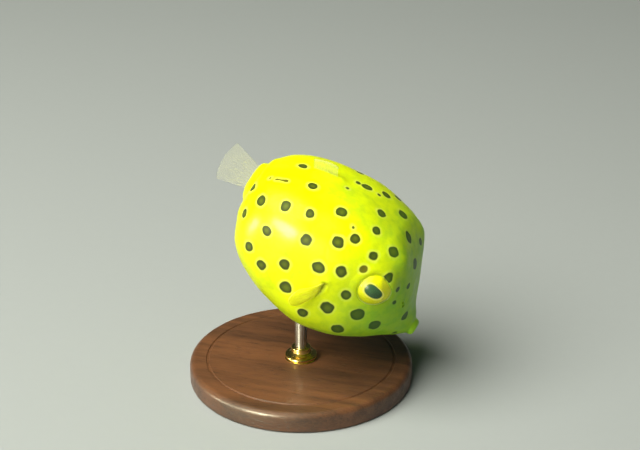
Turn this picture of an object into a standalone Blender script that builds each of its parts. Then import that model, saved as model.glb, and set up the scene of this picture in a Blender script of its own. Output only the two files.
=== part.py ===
"""A juvenile yellow boxfish, life size, swimming nose-down on a small display stand.

The fish is modelled level in its own frame (millimetres, +X to the snout, +Y to its left, +Z to its
back, origin at the middle of the body) and hangs from an empty that tilts and lifts it over the
stand. The part's origin is the centre of the underside of the stand's base.
"""

from math import cos, pi, radians, sin

import bmesh
import bpy
import numpy as np

MM = 0.001

# Pose: the body's middle over the floor and ahead of the rod, and its nose-down tilt.
BODY_LEVEL = 17.5
BODY_AHEAD = 3.6
NOSE_DOWN = radians(31)

# Gap between neighbouring pieces, and how far cutters and roots run past a surface.
CUT = 0.2
OVERLAP = 1.0

# Cross-sections of the boxy body: place along the body, top, bottom, half width, level of the
# greatest width, and how square the section is above and below that level (2 is an ellipse).
SECTIONS = (
    (-11.7, 3.3, -0.4, 1.3, 1.5, 2.0, 2.0),
    (-11.2, 3.7, -1.3, 2.3, 1.3, 2.0, 2.0),
    (-10.4, 4.5, -3.1, 4.4, 0.8, 2.3, 2.3),
    (-9.1, 5.5, -5.1, 6.3, 0.3, 2.6, 2.6),
    (-6.5, 6.7, -6.7, 7.6, 0.0, 2.8, 2.9),
    (-3.0, 7.6, -7.6, 8.3, -0.4, 2.9, 3.3),
    (1.0, 8.1, -8.0, 8.4, -0.8, 3.1, 3.6),
    (5.0, 7.7, -7.3, 7.7, -1.0, 3.1, 3.4),
    (8.5, 5.4, -5.9, 6.0, -1.2, 2.7, 2.8),
    (10.4, 2.3, -4.9, 4.2, -1.5, 2.4, 2.4),
    (11.8, -0.5, -4.3, 2.4, -2.2, 2.1, 2.1),
    (13.0, -1.6, -3.5, 1.2, -2.6, 2.0, 2.0),
)

# Swellings and hollows on both sides: centre on the left, way they push, height, reach.
SWELLINGS = (
    ((7.5, 4.4, 5.6), (0.60, 0.30, 0.74), 0.55, 1.7),  # brow
    ((5.8, 6.6, 4.2), (0.15, 0.80, 0.58), 0.32, 1.3),  # lid above the eye
    ((11.0, 0.0, 1.2), (0.70, 0.00, 0.70), -0.15, 1.8),  # dip of the forehead
)

# Where the body is parted, along its length.
STALK_END = -11.7
STALK_START = -10.3
GILL = 2.4
LIP_START = 12.45

# Lips: places along the body with the radius there, from the root round the pout into the mouth.
LIP_PROFILE = (
    (12.65, 1.15),
    (12.85, 1.25),
    (13.1, 1.2),
    (13.3, 1.0),
    (13.35, 0.75),
    (13.2, 0.45),
    (13.0, 0.3),
)
LIP_LEVEL = -2.65
LIP_FLATTENING = 0.72

EYE_PLACE = (6.25, 5.84, 2.3)
EYE_RADIUS = 2.15

# Fins: root ends, outer ends of the first and last ray, rays, and how round the outer edge is.
FIN_ROOT_THICKNESS = 0.7
FIN_EDGE_THICKNESS = 0.5
PECTORAL_ROOT = ((1.9, 7.9, 0.7), (1.8, 7.9, -0.6))
PECTORAL_TIPS = ((-0.2, 9.5, -1.3), (0.9, 9.1, -3.1))
DORSAL_ROOT = ((-3.3, 0.0, 6.8), (-6.0, 0.0, 6.1))
DORSAL_TIPS = ((-4.3, 0.0, 8.8), (-7.0, 0.0, 7.9))
ANAL_ROOT = ((-5.0, 0.0, -6.5), (-7.4, 0.0, -5.4))
ANAL_TIPS = ((-6.5, 0.0, -8.9), (-9.0, 0.0, -7.4))
TAIL_ROOT = ((-11.5, 0.0, 3.0), (-11.5, 0.0, -0.1))
TAIL_TIPS = ((-15.2, 0.0, 4.0), (-15.1, 0.0, -1.4))

# Stand
ROD_RADIUS = 0.7
ROD_INTO_BODY = 2.6
BASE_RADIUS = 13.0
BASE_HEIGHT = 2.5
BASE_CHAMFER = 0.4
SEAT_DEPTH = 1.5
COLLAR_RADIUS = 1.9
COLLAR_HEIGHT = 1.3

BODY_SIDES = 48
RING_SPACING = 0.62


# ---------------------------------------------------------------- the body's form


def slopes(x, y):
    """Slopes of a smooth curve through the points (x, y) that never overshoots them."""
    step = np.diff(x)
    rise = np.diff(y) / step
    inner = np.zeros(len(rise) - 1)
    same_way = rise[:-1] * rise[1:] > 0
    near = 2 * step[1:] + step[:-1]
    far = step[1:] + 2 * step[:-1]
    before = rise[:-1][same_way]
    after = rise[1:][same_way]
    inner[same_way] = (near + far)[same_way] / (near[same_way] / before + far[same_way] / after)
    return np.concatenate([[rise[0]], inner, [rise[-1]]])


def between(table, at):
    """Every further column of the table at one place along its first column."""
    table = np.array(table, float)
    x = table[:, 0]
    i = int(np.clip(np.searchsorted(x, at) - 1, 0, len(x) - 2))
    step = x[i + 1] - x[i]
    t = (at - x[i]) / step
    values = []
    for column in table.T[1:]:
        m = slopes(x, column)
        values.append(
            (1 + 2 * t) * (1 - t) ** 2 * column[i]
            + t * (1 - t) ** 2 * step * m[i]
            + t * t * (3 - 2 * t) * column[i + 1]
            + t * t * (t - 1) * step * m[i + 1]
        )
    return values


def swollen(points):
    """The points pushed out by the swellings of both sides."""
    moved = points.copy()
    for centre, way, height, reach in SWELLINGS:
        for side in (1, -1):
            if side < 0 and centre[1] == 0:
                continue
            mirror = np.array((1, side, 1))
            distance = np.linalg.norm(points - centre * mirror, axis=1)
            moved += np.outer(height * np.exp(-((distance / reach) ** 2)), way * mirror)
    return moved


def section(x, sides, margin=0.0):
    """One closed cross-section of the body, as points, from the left side up over the back."""
    top, bottom, half, level, upper, lower = between(SECTIONS, x)
    angle = np.linspace(0, 2 * pi, sides, endpoint=False)
    across, up = np.cos(angle), np.sin(angle)
    power = 2 / np.where(up > 0, upper, lower)
    y = (half + margin) * np.sign(across) * np.abs(across) ** power
    reach = np.where(up > 0, top - level, level - bottom) + margin
    z = level + reach * np.sign(up) * np.abs(up) ** power
    return swollen(np.stack([np.full(sides, x), y, z], 1))


# ---------------------------------------------------------------- making meshes


def material(name, colour, roughness, metallic=0.0):
    made = bpy.data.materials.new(name)
    made.use_nodes = True
    shader = made.node_tree.nodes["Principled BSDF"]
    shader.inputs["Base Color"].default_value = (*colour, 1.0)
    shader.inputs["Roughness"].default_value = roughness
    shader.inputs["Metallic"].default_value = metallic
    return made


def mesh_object(name, points, faces, finish, parent=None, helper=False):
    """An object from points in millimetres in its parent's frame."""
    mesh = bpy.data.meshes.new(name)
    mesh.from_pydata((np.asarray(points) * MM).tolist(), [], faces)
    made = bmesh.new()
    made.from_mesh(mesh)
    bmesh.ops.recalc_face_normals(made, faces=made.faces)
    made.to_mesh(mesh)
    made.free()
    mesh.shade_smooth()
    mesh.set_sharp_from_angle(angle=radians(40))
    if finish:
        mesh.materials.append(finish)
    made_object = bpy.data.objects.new(name, mesh)
    bpy.context.scene.collection.objects.link(made_object)
    made_object.parent = parent
    if helper:
        made_object.hide_render = True
        made_object.display_type = "WIRE"
    return made_object


def skinned(rings):
    """Points and faces of a closed body through equal rings, its ends capped flat."""
    sides = len(rings[0])
    faces = []
    for row in range(len(rings) - 1):
        for k in range(sides):
            after = (k + 1) % sides
            a, b = row * sides, (row + 1) * sides
            faces.append((a + k, a + after, b + after, b + k))
    last = (len(rings) - 1) * sides
    faces.append(tuple(range(sides)))
    faces.append(tuple(range(last, last + sides)))
    return np.concatenate(rings), faces


def body_length(name, start, end, finish, parent, sides=BODY_SIDES, margin=0.0, helper=False):
    """The body between two places along its length."""
    rings = max(4, round((end - start) / RING_SPACING))
    places = np.linspace(start, end, rings + 1)
    points, faces = skinned([section(x, sides, margin) for x in places])
    return mesh_object(name, points, faces, finish, parent, helper)


def turned(name, profile, sides, finish, axis="z", squash=1.0, level=0.0, parent=None, helper=False):
    """A turned solid from (height, radius) pairs, along Z, or along X with its height squashed."""
    angle = np.linspace(0, 2 * pi, sides, endpoint=False)
    rings = []
    for height, radius in profile:
        along = np.full(sides, height)
        p, q = radius * np.cos(angle), radius * np.sin(angle)
        if axis == "z":
            rings.append(np.stack([p, q, along], 1))
        else:
            rings.append(np.stack([along, p, level + squash * q], 1))
    points, faces = skinned(rings)
    return mesh_object(name, points, faces, finish, parent, helper)


def ball(name, centre, radius, sides, finish, parent, helper=False):
    """A ball of stacked rings, its poles closed by small flat caps along Y."""
    rings = []
    turn = np.linspace(0, 2 * pi, sides, endpoint=False)
    for lift in np.linspace(-pi / 2, pi / 2, sides // 2 + 1)[1:-1]:
        around = radius * cos(lift)
        ring = np.stack(
            [around * np.cos(turn), np.full(sides, radius * sin(lift)), around * np.sin(turn)], 1
        )
        rings.append(ring + centre)
    points, faces = skinned(rings)
    return mesh_object(name, points, faces, finish, parent, helper)


def fan(name, root, tips, rays, roundness, finish, parent, side=1):
    """A fin: a plate that thins from its root to a scalloped outer edge, ridged along its rays."""
    columns = 2 * rays
    rows = 5
    mirror = np.array((1, side, 1))
    root = np.array(root) * mirror
    tips = np.array(tips) * mirror
    first = tips[0] - root[0]
    last = tips[1] - root[1]
    normal = np.cross(first, root[1] - root[0])
    normal /= np.linalg.norm(normal)
    plates = []
    for face in (1, -1):
        for row in range(rows + 1):
            v = row / rows
            for column in range(columns + 1):
                u = column / columns
                ray = first + (last - first) * u
                reach = 1 + roundness * 4 * u * (1 - u) + (0.03 if column % 2 else 0.0)
                ridge = 0.0 if column % 2 else 0.04
                half = ((1 - v) * FIN_ROOT_THICKNESS + v * FIN_EDGE_THICKNESS) / 2 + ridge
                base = root[0] + (root[1] - root[0]) * u
                plates.append(base + ray * reach * v + face * half * normal)
    across = columns + 1
    layer = across * (rows + 1)
    faces = []
    for row in range(rows):
        for column in range(columns):
            a = row * across + column
            b = a + across
            faces.append((a, a + 1, b + 1, b))
            faces.append((layer + a, layer + b, layer + b + 1, layer + a + 1))
    for column in range(columns):
        a, b = column, rows * across + column
        faces.append((a, layer + a, layer + a + 1, a + 1))
        faces.append((b, b + 1, layer + b + 1, layer + b))
    for row in range(rows):
        a, b = row * across, row * across + columns
        faces.append((a, a + across, layer + a + across, layer + a))
        faces.append((b, layer + b, layer + b + across, b + across))
    return mesh_object(name, plates, faces, finish, parent)


def cut(piece, cutter):
    """Takes the cutter's shape out of a piece."""
    modifier = piece.modifiers.new("cut_" + cutter.name, "BOOLEAN")
    modifier.operation = "DIFFERENCE"
    modifier.solver = "EXACT"
    modifier.object = cutter


# ---------------------------------------------------------------- the pieces


def make_body(fish, skin):
    """Tail stalk, trunk and head, parted by thin cuts, and the lips."""
    trunk = body_length("trunk", STALK_START + CUT, GILL, skin, fish)
    head = body_length("head", GILL + CUT, LIP_START, skin, fish)
    body_length("tail_stalk", STALK_END, STALK_START, skin, fish)
    turned("mouth", LIP_PROFILE, 24, skin, "x", LIP_FLATTENING, LIP_LEVEL, fish)
    return trunk, head


def make_eyes(fish, head, finish):
    for side, name in ((1, "left"), (-1, "right")):
        centre = np.array(EYE_PLACE) * (1, side, 1)
        ball("eye_" + name, centre, EYE_RADIUS, 24, finish, fish)
        socket = ball("socket_" + name, centre, EYE_RADIUS + CUT, 30, None, fish, helper=True)
        cut(head, socket)


def make_fins(fish, finish):
    """Every fin starts inside the body and is trimmed to stand just off its surface."""
    around = body_length(
        "around_body", STALK_END - CUT, LIP_START, None, fish, margin=CUT, helper=True
    )
    fins = [
        fan("fin_dorsal", DORSAL_ROOT, DORSAL_TIPS, 8, 0.10, finish, fish),
        fan("fin_anal", ANAL_ROOT, ANAL_TIPS, 8, 0.12, finish, fish),
        fan("fin_tail", TAIL_ROOT, TAIL_TIPS, 9, 0.14, finish, fish),
        fan("fin_pectoral_left", PECTORAL_ROOT, PECTORAL_TIPS, 7, 0.5, finish, fish),
        fan("fin_pectoral_right", PECTORAL_ROOT, PECTORAL_TIPS, 7, 0.5, finish, fish, side=-1),
    ]
    for fin in fins:
        cut(fin, around)


def belly_over_rod():
    """Height of the belly's surface above the floor, straight over the rod."""
    places = np.linspace(-6, 6, 241)
    keel = np.array([[x, between(SECTIONS, x)[1]] for x in places])
    ahead = BODY_AHEAD + keel[:, 0] * cos(NOSE_DOWN) + keel[:, 1] * sin(NOSE_DOWN)
    level = BODY_LEVEL - keel[:, 0] * sin(NOSE_DOWN) + keel[:, 1] * cos(NOSE_DOWN)
    return float(level[np.argmin(np.abs(ahead))])


def make_stand(trunk, wood, steel, brass):
    edge = BASE_RADIUS - BASE_CHAMFER
    base = turned(
        "stand_base",
        (
            (0, edge),
            (BASE_CHAMFER, BASE_RADIUS),
            (BASE_HEIGHT - BASE_CHAMFER, BASE_RADIUS),
            (BASE_HEIGHT, edge),
        ),
        64,
        wood,
    )
    rod_bottom = BASE_HEIGHT - SEAT_DEPTH + CUT
    rod_top = belly_over_rod() + ROD_INTO_BODY - CUT
    turned("stand_rod", ((rod_bottom, ROD_RADIUS), (rod_top, ROD_RADIUS)), 24, steel)
    hole = ROD_RADIUS + CUT
    seat = turned(
        "rod_seat",
        ((BASE_HEIGHT - SEAT_DEPTH, hole), (BASE_HEIGHT + OVERLAP, hole)),
        24,
        None,
        helper=True,
    )
    cut(base, seat)
    top = rod_top + CUT
    socket = turned("rod_socket", ((top - 2 * ROD_INTO_BODY, hole), (top, hole)), 24, None, helper=True)
    cut(trunk, socket)
    foot = BASE_HEIGHT + CUT
    collar = turned(
        "stand_collar",
        (
            (foot, COLLAR_RADIUS),
            (foot + 0.35 * COLLAR_HEIGHT, COLLAR_RADIUS),
            (foot + 0.6 * COLLAR_HEIGHT, 0.72 * COLLAR_RADIUS),
            (foot + COLLAR_HEIGHT, 0.64 * COLLAR_RADIUS),
        ),
        32,
        brass,
    )
    bore = turned(
        "collar_bore",
        ((foot - OVERLAP, hole), (foot + COLLAR_HEIGHT + OVERLAP, hole)),
        24,
        None,
        helper=True,
    )
    cut(collar, bore)


def main():
    for old in list(bpy.data.objects):
        bpy.data.objects.remove(old)
    skin = material("boxfish_skin", (0.90, 0.84, 0.02), 0.4)
    eye = material("eye", (0.55, 0.45, 0.05), 0.1)
    membrane = material("fin_membrane", (0.85, 0.85, 0.45), 0.35)
    wood = material("turned_walnut", (0.16, 0.08, 0.04), 0.45)
    steel = material("steel_rod", (0.60, 0.60, 0.60), 0.3, 1.0)
    brass = material("turned_brass", (0.75, 0.55, 0.25), 0.3, 1.0)

    fish = bpy.data.objects.new("fish_pose", None)
    bpy.context.scene.collection.objects.link(fish)
    fish.location = (BODY_AHEAD * MM, 0, BODY_LEVEL * MM)
    fish.rotation_euler = (0, NOSE_DOWN, 0)

    trunk, head = make_body(fish, skin)
    make_eyes(fish, head, eye)
    make_fins(fish, membrane)
    make_stand(trunk, wood, steel, brass)


main()
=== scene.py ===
"""The looks of a life-size still model of a juvenile yellow boxfish on a small display stand.

The file is laid out as an add-on: property groups hold the sizes and colours, each operator makes
one piece or one group of like pieces, and main() calls them in order. The fish is shaped level in
its own frame (millimetres, +X to the snout, +Y to its left, +Z to its back) and is then tilted
and lifted over the stand, where its solids are.
"""

from functools import partial
from math import cos, pi, radians, sin

import bmesh
import bpy
import numpy as np
from mathutils import Matrix, Vector


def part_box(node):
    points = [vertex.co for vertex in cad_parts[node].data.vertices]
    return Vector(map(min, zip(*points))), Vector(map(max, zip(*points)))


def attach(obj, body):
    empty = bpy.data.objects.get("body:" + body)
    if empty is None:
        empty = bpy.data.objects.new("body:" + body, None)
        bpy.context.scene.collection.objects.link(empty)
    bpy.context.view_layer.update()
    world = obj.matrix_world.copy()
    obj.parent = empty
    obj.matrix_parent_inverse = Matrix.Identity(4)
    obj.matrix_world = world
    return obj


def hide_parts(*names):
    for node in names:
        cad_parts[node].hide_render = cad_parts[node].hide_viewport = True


bl_info = {
    "name": "Juvenile boxfish model",
    "version": (1, 0, 0),
    "blender": (4, 5, 0),
    "location": "View3D > Sidebar > Boxfish",
    "description": "Skin, eyes, fins and display stand of a life-size juvenile yellow boxfish",
    "category": "Object",
}

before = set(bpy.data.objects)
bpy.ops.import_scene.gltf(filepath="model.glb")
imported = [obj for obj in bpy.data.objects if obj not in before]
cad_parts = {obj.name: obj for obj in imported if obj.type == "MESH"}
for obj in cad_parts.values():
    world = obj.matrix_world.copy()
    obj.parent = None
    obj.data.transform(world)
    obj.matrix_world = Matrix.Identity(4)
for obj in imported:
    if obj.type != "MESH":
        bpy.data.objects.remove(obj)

MM = 0.001

# Pose: the body's middle over the floor and ahead of the rod, and its nose-down tilt.
BODY_LEVEL = 17.5
BODY_AHEAD = 3.6
NOSE_DOWN = radians(31)

# Cross-sections of the skin, as steps from the closed end of the tail stalk over the body and the
# lips into the mouth: step, place along the body, top, bottom, half width, level of the greatest
# width, and how square the section is above and below that level (2 is an ellipse).
SECTIONS = (
    (-12.2, -11.76, 1.5, 1.4, 0.03, 1.45, 2.0, 2.0),
    (-12.0, -11.74, 2.6, 0.3, 0.9, 1.45, 2.0, 2.0),
    (-11.7, -11.58, 3.35, -0.5, 1.5, 1.5, 2.0, 2.0),
    (-11.2, -11.2, 3.7, -1.3, 2.3, 1.3, 2.0, 2.0),
    (-10.4, -10.4, 4.5, -3.1, 4.4, 0.8, 2.3, 2.3),
    (-9.1, -9.1, 5.5, -5.1, 6.3, 0.3, 2.6, 2.6),
    (-6.5, -6.5, 6.7, -6.7, 7.6, 0.0, 2.8, 2.9),
    (-3.0, -3.0, 7.6, -7.6, 8.3, -0.4, 2.9, 3.3),
    (1.0, 1.0, 8.1, -8.0, 8.4, -0.8, 3.1, 3.6),
    (5.0, 5.0, 7.7, -7.3, 7.7, -1.0, 3.1, 3.4),
    (8.5, 8.5, 5.4, -5.9, 6.0, -1.2, 2.7, 2.8),
    (10.4, 10.4, 2.3, -4.9, 4.2, -1.5, 2.4, 2.4),
    (11.8, 11.8, -0.5, -4.3, 2.4, -2.2, 2.1, 2.1),
    (12.4, 12.35, -1.15, -3.85, 1.7, -2.5, 2.0, 2.0),
    (12.75, 12.62, -1.6, -3.62, 1.36, -2.62, 2.0, 2.0),  # soft crease behind the lips
    (12.95, 12.76, -1.72, -3.56, 1.27, -2.65, 2.0, 2.0),
    (13.15, 12.92, -1.75, -3.56, 1.25, -2.65, 2.0, 2.0),
    (13.4, 13.13, -1.84, -3.48, 1.17, -2.65, 2.0, 2.0),
    (13.6, 13.28, -2.02, -3.31, 1.0, -2.66, 2.0, 2.0),
    (13.8, 13.33, -2.25, -3.09, 0.82, -2.67, 2.0, 2.0),
    (14.0, 13.26, -2.43, -2.91, 0.68, -2.68, 2.0, 2.0),
    (14.2, 13.08, -2.52, -2.82, 0.58, -2.68, 2.0, 2.0),
    (14.7, 12.6, -2.5, -2.84, 0.5, -2.68, 2.0, 2.0),
    (15.2, 12.1, -2.6, -2.76, 0.25, -2.68, 2.0, 2.0),
    (15.3, 12.05, -2.67, -2.69, 0.02, -2.68, 2.0, 2.0),
)

BODY_SECTIONS = SECTIONS[:14]  # without the lips and the mouth

# How finely the sections are sampled: a quarter of one, and the steps and sides of the coarse
# skin that spaces the rings.
QUARTER_SAMPLES = 400
STEP_SAMPLES = 1600
STEP_SIDES = 32
SPOT_SIDES = 720  # points round the body that a spot's middle is chosen from

# Swellings and hollows on both sides: centre on the left, way they push, height, reach.
SWELLINGS = (
    ((7.5, 4.4, 5.6), (0.60, 0.30, 0.74), 0.55, 1.7),  # brow
    ((5.8, 6.6, 4.2), (0.15, 0.80, 0.58), 0.14, 1.3),  # lid above the eye
    ((11.0, 0.0, 1.2), (0.70, 0.00, 0.70), -0.15, 1.8),  # dip of the forehead
)

# The left eye: centre of the ball, way the orbit faces, way the pupil looks, and radius of the
# opening in the skin.
EYE_PLACE = np.array((6.25, 5.84, 2.3))
ORBIT_FACING = np.array((0.46, 0.88, 0.11))
GAZE = np.array((0.31, 0.96, 0.08))
OPENING_RADIUS = 2.0
ORBIT_REACH = 3.1  # how far from the eye's middle the skin is drawn up to the ball
IRIS_BULGE = 0.72  # how much of the cornea's bulge the iris under it has
IRIS_GAP = 0.015  # between the cornea and the ball under it
BROW_DROOP = 0.2  # how much the brow narrows the opening at its upper front
BROW_TURN = 0.95  # where the brow is round the opening, in radians from its front over its top
TUCK = 0.22  # how far the skin's edge dips under the rim, into the ball
BOWL_GAP = 0.06  # between the ball and the skin behind it
PUPIL_DIP = radians(12)  # how far the pupil's front end points below the way the fish heads
PUPIL_SQUARENESS = 2.5  # 2 is an ellipse
PUPIL_TAPER = 0.12  # how much lower its front end is than its middle
PUPIL_DEPTH, LENS_BULGE, COLLAR_HEIGHT = 0.10, 0.16, 0.05

# Just above and behind the eye the painted green shade is mostly lifted, which paints the brow as
# lit yellow skin.
LIT_BROW = np.array((5.0, 7.0, 4.0))

# Fins: root ends, outer ends of the first and last ray, and how round the outer edge is.
PECTORAL = (((1.9, 7.9, 0.7), (1.8, 7.9, -0.6)), ((-0.2, 9.5, -1.3), (0.9, 9.1, -3.1)), 0.50)
DORSAL = (((-3.3, 0.0, 6.8), (-6.0, 0.0, 6.1)), ((-4.3, 0.0, 8.8), (-7.0, 0.0, 7.9)), 0.10)
ANAL = (((-5.0, 0.0, -6.5), (-7.4, 0.0, -5.4)), ((-6.5, 0.0, -8.9), (-9.0, 0.0, -7.4)), 0.12)
TAIL = (((-11.5, 0.0, 3.0), (-11.5, 0.0, -0.1)), ((-15.2, 0.0, 4.0), (-15.1, 0.0, -1.4)), 0.14)
COLUMNS_PER_RAY = 14
FIN_ROWS = 40

# The gill slit on the left, ahead of the pectoral fin, from its upper end to its lower end.
GILL_SLIT = ((1.85, 8.35, 0.75), (1.85, 8.35, -0.1), (1.75, 8.35, -0.9), (1.45, 8.36, -1.7))
NOSTRILS = ((10.0, 3.75, 1.35), (10.35, 3.6, 0.95))
MOUTH_LEVEL = -2.68

# Small relief on the skin: height or depth, and reach.
GILL_LIP, GILL_LIP_REACH, GILL_GROOVE_REACH = 0.12, 0.6, 0.32
PECTORAL_BASE, PECTORAL_BASE_REACH = 0.22, 0.5
FIN_BASE, FIN_BASE_REACH = 0.2, 0.75
NOSTRIL_RADIUS, NOSTRIL_RIM, NOSTRIL_RIM_REACH = 0.24, 0.08, 0.1
NOSTRIL_PIT, NOSTRIL_PIT_REACH = 0.14, 0.15
CASE_END, CASE_RIM, CASE_RIM_REACH = -10.65, 0.07, 0.22  # where the bony case ends
CASE_GROOVE_AT, CASE_GROOVE, CASE_GROOVE_REACH = -11.1, 0.12, 0.16

# Spots in lanes along the body: place along it, degrees round it from the middle of the back
# towards the right, and width. The left side's spots are these mirrored and shifted a little.
BACK_SPOTS = (
    (-7.6, 0, 1.1), (-5.3, 27, 1.1), (-0.4, -9, 1.2), (1.9, -17, 1.1), (2.5, 13, 1.2),
    (4.6, -9, 1.3), (6.5, 8, 1.3), (8.8, 16, 1.3), (8.0, -19, 0.9), (-1.9, -32, 0.8),
)
SHOULDER_SPOTS = (
    (-10.7, 55, 1.1), (-6.5, 55, 1.15), (-3.9, 50, 1.0), (-1.1, 36, 1.3), (0.4, 56, 1.3),
    (1.7, 47, 1.05), (3.1, 32, 1.0), (4.4, 49, 1.0), (5.9, 37, 1.3), (6.9, 55, 1.1),
    (9.6, 46, 0.8), (8.6, 58, 0.7),
)
FLANK_SPOTS = (
    (-9.1, 63, 1.2), (-9.9, 89, 1.1), (-6.7, 81, 1.2), (-2.6, 67, 1.3), (-3.0, 94, 1.2),
    (0.2, 79, 1.4), (2.5, 72, 1.3), (4.3, 61, 0.92), (4.4, 87, 1.25), (9.3, 74, 0.7),
)
BELLY_EDGE_SPOTS = (
    (-7.4, 105, 1.2), (-5.1, 108, 1.25), (-1.5, 109, 1.45), (1.7, 119, 1.2), (3.5, 105, 1.5),
    (6.7, 100, 1.6), (5.9, 121, 1.5), (9.0, 110, 1.4), (11.3, 103, 1.1),
)
SPOTS = BACK_SPOTS + SHOULDER_SPOTS + FLANK_SPOTS + BELLY_EDGE_SPOTS

# Small faint marks beside them, laid out the same way.
FLECKS = (
    (-2.1, 8, 0.5), (-1.5, -9, 0.6), (1.2, -9, 0.45),
    (0.8, 41, 0.35), (-9.7, 36, 0.3), (11.5, 142, 0.6),
)

# A thin brown dash on the hind back: both ends, and its width.
DASH = ((-9.1, 36), (-8.0, 34), 0.3)

# Marks that have faded to brown.
BROWN_MARKS = ((-9.7, 36), (-8.6, 35), (4.3, 61))

# A listed spot's kin on the left: none for a spot this near the middle of the back, in degrees,
# and otherwise shifted and turned by up to so much, at a width of so much of the spot's own.
MIDDLE_OF_BACK = 30
KIN_SHIFT = 0.5
KIN_STRETCH = (-10.8, 11.4)
KIN_TURN = 3
KIN_WIDTH = (0.92, 1.08)
KIN_SPACING = 1.7  # least distance to the other spots

# Spots that fill the bare skin of the left side and the belly.
FILL_TRIES = 6000
FILL_STRETCH = (-11.2, 11.3)
FILL_RADIUS = (0.55, 0.72)
FILL_SPACING = 3.1
EYE_CLEARANCE = 3.4  # least distance to the middle of an eye

SPOT_SEED = 7
FAR = 2.0  # a distance that is clear of every mark

# The lamps: way from the fish, distance and width in metres, power in watts, and whether they
# shade the fish or only show as gloss, which keeps its highlights apart from its shading.
KEY_WAY = (-0.33, -0.48, 0.81)
LAMPS = {
    "key": (KEY_WAY, 0.36, 0.36, 3.1, True),
    "key_sheen": (KEY_WAY, 0.36, 0.36, 2.0, False),
    "flank_glint": ((-0.41, -0.90, 0.15), 0.34, 0.115, 3.4, False),
    "rear_glint": ((-0.90, -0.44, -0.06), 0.34, 0.08, 1.8, False),
}
SHADING_LIGHT = (1.0, 0.99, 0.92)
GLOSS_LIGHT = (1.0, 0.97, 0.68)
AIR_STRENGTH = 0.065


def linear(hex_colour):
    """A colour given as six hex digits of sRGB, as linear red, green, blue."""
    parts = (int(hex_colour[i : i + 2], 16) / 255 for i in (0, 2, 4))
    return tuple(c / 12.92 if c <= 0.04045 else ((c + 0.055) / 1.055) ** 2.4 for c in parts)


# ---------------------------------------------------------------- sizes and colours


def length(name, description, default):
    return bpy.props.FloatProperty(
        name=name, description=description, default=default * MM, unit="LENGTH", precision=5
    )


def colour(name, description, default):
    return bpy.props.FloatVectorProperty(
        name=name, description=description, default=linear(default), subtype="COLOR", min=0, max=1
    )


class SkinSettings(bpy.types.PropertyGroup):
    sides: bpy.props.IntProperty(
        name="Sides", description="Points round the body, a multiple of four", default=256
    )
    rings: bpy.props.IntProperty(
        name="Rings", description="Rings of faces from the mouth to the tail", default=300
    )
    slit_depth: length("Gill slit depth", "Depth of the gill slit", 0.2)
    lemon: colour("Lemon", "The skin's yellow on the back and flanks", "EAF600")
    deep: colour("Deep yellow", "The greener yellow of its mottling", "DAE908")
    # Colour of the painted green shade on the snout, chin, belly and top of the back.
    olive: colour("Olive", "The green of the snout, chin and belly", "78B82C")
    halo: colour("Halo", "The pale ring round a spot", "F2F56E")
    spot: colour("Spot", "The dark rim of a spot", "424D1C")
    spot_heart: colour("Spot's heart", "The lighter middle of a spot", "66731E")
    # Colour of the spots under the painted green shade.
    spot_in_green_shade: colour("Green spot", "Spots on the snout, chin and belly", "3A6420")
    spot_brown: colour("Brown spot", "Marks that have faded", "6C6A16")
    # Colour of the painted highlight on the front and lower side of the eye's rim.
    pale: colour("Pale rim", "The pale side of the eye's rim", "FAF8B4")
    crease: colour("Crease", "The shade in the slit, the nostrils and the mouth", "5A5A14")


class EyeSettings(bpy.types.PropertyGroup):
    radius: length("Radius", "Radius of the clear front of the eye", 2.15)
    pupil_length: length("Pupil length", "Length of the oval pupil", 2.2)
    pupil_height: length("Pupil height", "Height of the oval pupil", 1.38)
    lid: length("Rim", "Thickness of the fleshy rim round the eye", 0.065)
    iris: colour("Iris", "The yellow of the iris", "F8FA0C")
    # Also the colour of the painted shade on the iris's front side.
    iris_gold_and_front_shade: colour("Iris, front", "The olive gold of its front and streaks", "BCC034")
    pupil: colour("Pupil", "The dark green of the pupil", "466A44")
    collar: colour("Collar", "The pale ring round the pupil", "F8F694")
    spot: colour("Spot", "Spots that run over the iris's edge", "66742A")


class FinSettings(bpy.types.PropertyGroup):
    membrane: length("Membrane", "Thickness between the rays", 0.11)
    ray: length("Ray", "Thickness at a ray", 0.16)
    pectoral: colour("Pectoral", "The yellow of the pectoral fins", "FAF812")
    pectoral_ray: colour("Pectoral rays", "The rays of the pectoral fins", "FBFA40")
    clear: colour("Clear fins", "The faint yellow of the clear fins", "EFEDB4")
    clear_ray: colour("Clear fins' rays", "The rays of the clear fins", "DED88A")
    # Colour of the painted shade along the back fin's outer edge.
    margin: colour("Back fin's edge", "The darker outer edge of the back fin", "A8A83C")


class StandSettings(bpy.types.PropertyGroup):
    edge_round: length("Edge rounding", "Rounding of the base's upper edge", 0.7)
    wood: colour("Walnut", "The wood between its growth rings", "6B4429")
    wood_dark: colour("Late wood", "The darker growth rings", "3A2214")
    wood_fibre: colour("Fibres", "Paler fibres of the wood", "8A5E3C")
    wood_pore: colour("Pores", "Short dark pores of the wood", "24140B")
    brass: colour("Brass", "Polished brass", "D9B56A")
    steel: colour("Steel", "Drawn stainless steel", "C4C4C2")


class StageSettings(bpy.types.PropertyGroup):
    azimuth: bpy.props.FloatProperty(
        name="Azimuth",
        description="Camera's angle round the model from its right side",
        default=radians(16.5),
        subtype="ANGLE",
    )
    elevation: bpy.props.FloatProperty(
        name="Elevation",
        description="Camera's angle over the horizon",
        default=radians(25),
        subtype="ANGLE",
    )
    distance: length("Distance", "From the camera to the middle of the fish", 200)
    lens: bpy.props.FloatProperty(
        name="Lens", description="Focal length", default=99.6, subtype="DISTANCE_CAMERA"
    )
    aim_across: length("Aim across", "How far right of the fish's middle it aims", -1.24)
    aim_above: length("Aim above", "How far above the fish's middle it aims", 2.26)
    floor_width: length("Floor", "Width of the floor", 1600)
    floor: colour("Floor colour", "Matt pale paper", "A0A4A1")
    air: colour("Air", "The soft light from all round", "C4E4CC")


# ---------------------------------------------------------------- shaping


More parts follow.
